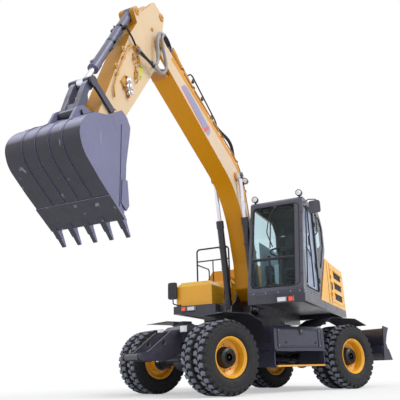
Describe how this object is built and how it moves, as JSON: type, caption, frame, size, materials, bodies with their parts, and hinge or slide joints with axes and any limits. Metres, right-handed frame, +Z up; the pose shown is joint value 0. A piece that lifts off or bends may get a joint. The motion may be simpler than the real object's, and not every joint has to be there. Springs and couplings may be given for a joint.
{
  "type": "wheeled excavator",
  "caption": "Wheeled excavator with a two-piece digging front, backhoe bucket, dozer blade, cab on the left and engine housing behind.",
  "frame": {"origin": "on the floor under the middle of the bounding box", "axes": "+X along the undercarriage towards the steered axle, +Y to its left, +Z up"},
  "size_m": [7.564, 5.1744, 5.255],
  "materials": {
    "chassis_paint": "satin",
    "body_yellow": "gloss",
    "boom_cream": "satin",
    "arm_cream": "satin",
    "bucket_steel": "satin",
    "cylinder_paint": "satin",
    "yellow_cylinder": "satin",
    "rod_chrome": "polished",
    "tyre_rubber": "matte",
    "rim_yellow": "satin",
    "dark_plastic": "matte",
    "cab_grey": "satin",
    "pane": "clear",
    "seat_fabric": "matte",
    "engine_iron": "matte",
    "lamp_lens": "gloss",
    "box_grey": "satin",
    "black_paint": "satin"
  },
  "bodies": {
    "undercarriage": {"chassis_frame": "chassis_paint", "front_axle": "chassis_paint", "rear_axle": "chassis_paint", "drive_line": "chassis_paint", "fenders": "dark_plastic", "step_boxes": "box_grey", "front_lamps": "lamp_lens"},
    "knuckle_left": {"knuckle_left": "chassis_paint"},
    "knuckle_right": {"knuckle_right": "chassis_paint"},
    "steering_rod": {"steering_rod": "rod_chrome"},
    "wheel_front_left": {"tyres_front_left": "tyre_rubber", "rims_front_left": "rim_yellow"},
    "wheel_front_right": {"tyres_front_right": "tyre_rubber", "rims_front_right": "rim_yellow"},
    "wheel_rear_left": {"tyres_rear_left": "tyre_rubber", "rims_rear_left": "rim_yellow"},
    "wheel_rear_right": {"tyres_rear_right": "tyre_rubber", "rims_rear_right": "rim_yellow"},
    "blade": {"blade": "chassis_paint"},
    "blade_barrels": {"blade_barrels": "black_paint"},
    "blade_rods": {"blade_rods": "rod_chrome"},
    "upper": {"turntable": "chassis_paint", "counterweight": "body_yellow", "engine_hood": "body_yellow", "engine_block": "engine_iron", "right_side_box": "body_yellow", "cab_frame": "cab_grey", "cab_windows": "pane", "operator_seat": "seat_fabric", "consoles": "dark_plastic", "rails_and_mirrors": "dark_plastic", "upper_lamps": "lamp_lens"},
    "hood_lid": {"hood_lid": "body_yellow"},
    "left_service_door": {"left_service_door": "body_yellow"},
    "right_service_door": {"right_service_door": "body_yellow"},
    "toolbox_lid": {"toolbox_lid": "body_yellow"},
    "cab_door": {"cab_door": "cab_grey", "cab_door_window": "pane"},
    "boom": {"boom": "boom_cream"},
    "boom_barrels": {"boom_barrels": "black_paint"},
    "boom_rods": {"boom_rods": "rod_chrome"},
    "arm_barrel": {"arm_barrel": "yellow_cylinder"},
    "arm_rod": {"arm_rod": "rod_chrome"},
    "arm": {"arm": "arm_cream"},
    "bucket_barrel": {"bucket_barrel": "cylinder_paint"},
    "bucket_rod": {"bucket_rod": "rod_chrome"},
    "rockers": {"rockers": "bucket_steel"},
    "bucket_link": {"bucket_link": "bucket_steel"},
    "bucket": {"bucket": "bucket_steel"}
  },
  "joints": [
    {"name": "slew", "type": "hinge", "parent": "undercarriage", "child": "upper", "pos_m": [-1.42201, -0.53525, 1.196], "axis": [0, 0, 1], "continuous": true},
    {"name": "boom_lift", "type": "hinge", "parent": "upper", "child": "boom", "pos_m": [-1.22904, -0.4296, 1.62], "axis": [0.4802, -0.8771, 0], "range_deg": [-70, 22]},
    {"name": "arm_swing", "type": "hinge", "parent": "boom", "child": "arm", "pos_m": [1.84167, 1.25156, 4.59941], "axis": [-0.4802, 0.8771, 0], "range_deg": [-48, 55]},
    {"name": "bucket_curl", "type": "hinge", "parent": "arm", "child": "bucket", "pos_m": [2.91952, 1.84166, 2.81814], "axis": [-0.4802, 0.8771, 0], "range_deg": [-45, 90]},
    {"name": "boom_barrel_turn", "type": "hinge", "parent": "upper", "child": "boom_barrels", "pos_m": [-0.85187, -0.22311, 1.3], "axis": [0.4802, -0.8771, 0], "range_deg": [-72.03, 23.9]},
    {"name": "boom_rod_travel", "type": "slide", "parent": "boom_barrels", "child": "boom_rods", "axis": [0.1701, 0.0932, 0.981], "range_m": [-0.63843, 0.21186]},
    {"name": "arm_barrel_turn", "type": "hinge", "parent": "boom", "child": "arm_barrel", "pos_m": [-0.27966, 0.09017, 4.05126], "axis": [0.4802, -0.8771, 0], "range_deg": [-3.41, 2.99]},
    {"name": "arm_rod_travel", "type": "slide", "parent": "arm_barrel", "child": "arm_rod", "axis": [0.7951, 0.4353, 0.4223], "range_m": [-0.41616, 0.47435]},
    {"name": "rocker_turn", "type": "hinge", "parent": "arm", "child": "rockers", "pos_m": [2.73545, 1.74089, 3.08886], "axis": [0.4802, -0.8771, 0], "range_deg": [-59.59, 30.66]},
    {"name": "link_turn", "type": "hinge", "parent": "bucket", "child": "bucket_link", "pos_m": [3.22652, 2.00974, 2.84814], "axis": [0.4802, -0.8771, 0], "range_deg": [-28.85, 56.07]},
    {"name": "bucket_barrel_turn", "type": "hinge", "parent": "arm", "child": "bucket_barrel", "pos_m": [2.32404, 1.51565, 4.79898], "axis": [0.4802, -0.8771, 0], "range_deg": [-3.49, 1.79]},
    {"name": "bucket_rod_travel", "type": "slide", "parent": "bucket_barrel", "child": "bucket_rod", "axis": [0.4359, 0.2387, -0.8678], "range_m": [-0.21866, 0.42494]},
    {"name": "blade_lift", "type": "hinge", "parent": "undercarriage", "child": "blade", "pos_m": [-2.82201, -0.53525, 0.545], "axis": [0, 1, 0], "range_deg": [-43, 3]},
    {"name": "blade_barrel_turn", "type": "hinge", "parent": "undercarriage", "child": "blade_barrels", "pos_m": [-2.96701, -0.53525, 0.985], "axis": [0, -1, 0], "range_deg": [-1.56, 17.47]},
    {"name": "blade_rod_travel", "type": "slide", "parent": "blade_barrels", "child": "blade_rods", "axis": [-0.579, 0, -0.8153], "range_m": [-0.02324, 0.26036]},
    {"name": "steer_left", "type": "hinge", "parent": "undercarriage", "child": "knuckle_left", "pos_m": [0.17099, 0.00475, 0.522], "axis": [0, 0, 1], "range_deg": [-28, 28]},
    {"name": "steer_right", "type": "hinge", "parent": "undercarriage", "child": "knuckle_right", "pos_m": [0.17099, -1.07525, 0.522], "axis": [0, 0, 1], "range_deg": [-28.5, 28.5]},
    {"name": "steering_travel", "type": "slide", "parent": "undercarriage", "child": "steering_rod", "axis": [0, 1, 0], "range_m": [-0.08544, 0.08544]},
    {"name": "wheel_front_left_spin", "type": "hinge", "parent": "knuckle_left", "child": "wheel_front_left", "pos_m": [0.17099, 0.41975, 0.522], "axis": [0, 1, 0], "continuous": true},
    {"name": "wheel_front_right_spin", "type": "hinge", "parent": "knuckle_right", "child": "wheel_front_right", "pos_m": [0.17099, -1.49025, 0.522], "axis": [0, 1, 0], "continuous": true},
    {"name": "wheel_rear_left_spin", "type": "hinge", "parent": "undercarriage", "child": "wheel_rear_left", "pos_m": [-2.49001, 0.41975, 0.522], "axis": [0, 1, 0], "continuous": true},
    {"name": "wheel_rear_right_spin", "type": "hinge", "parent": "undercarriage", "child": "wheel_rear_right", "pos_m": [-2.49001, -1.49025, 0.522], "axis": [0, 1, 0], "continuous": true},
    {"name": "cab_door_swing", "type": "hinge", "parent": "upper", "child": "cab_door", "pos_m": [-1.8911, 0.61932, 2.25], "axis": [0, 0, 1], "range_deg": [0, 100]},
    {"name": "hood_lid_lift", "type": "hinge", "parent": "upper", "child": "hood_lid", "pos_m": [-2.10882, -0.91127, 2.302], "axis": [-0.4802, 0.8771, 0], "range_deg": [0, 70]},
    {"name": "left_service_door_swing", "type": "hinge", "parent": "upper", "child": "left_service_door", "pos_m": [-2.69251, 0.19652, 1.8], "axis": [0, 0, -1], "range_deg": [0, 100]},
    {"name": "right_service_door_swing", "type": "hinge", "parent": "upper", "child": "right_service_door", "pos_m": [-1.49003, -1.99985, 1.8], "axis": [0, 0, 1], "range_deg": [0, 100]},
    {"name": "toolbox_lid_lift", "type": "hinge", "parent": "upper", "child": "toolbox_lid", "pos_m": [-1.41938, -0.53381, 1.892], "axis": [0.4802, -0.8771, 0], "range_deg": [0, 84]}
  ],
  "couplings": [
    {"joint": "boom_barrel_turn", "follows": "boom_lift", "ratio": 1.0026},
    {"joint": "boom_rod_travel", "follows": "boom_lift", "m_per_rad": 0.50918},
    {"joint": "arm_barrel_turn", "follows": "arm_swing", "ratio": -0.059808},
    {"joint": "arm_rod_travel", "follows": "arm_swing", "m_per_rad": 0.47631},
    {"joint": "rocker_turn", "follows": "bucket_curl", "ratio": -0.64284},
    {"joint": "link_turn", "follows": "bucket_curl", "ratio": 0.60485},
    {"joint": "bucket_barrel_turn", "follows": "bucket_curl", "ratio": -0.037628},
    {"joint": "bucket_rod_travel", "follows": "bucket_curl", "m_per_rad": 0.26265},
    {"joint": "blade_barrel_turn", "follows": "blade_lift", "ratio": -0.39787},
    {"joint": "blade_rod_travel", "follows": "blade_lift", "m_per_rad": -0.33965},
    {"joint": "steer_right", "follows": "steer_left", "ratio": 1},
    {"joint": "steering_travel", "follows": "steer_left", "m_per_rad": 0.16812}
  ]
}
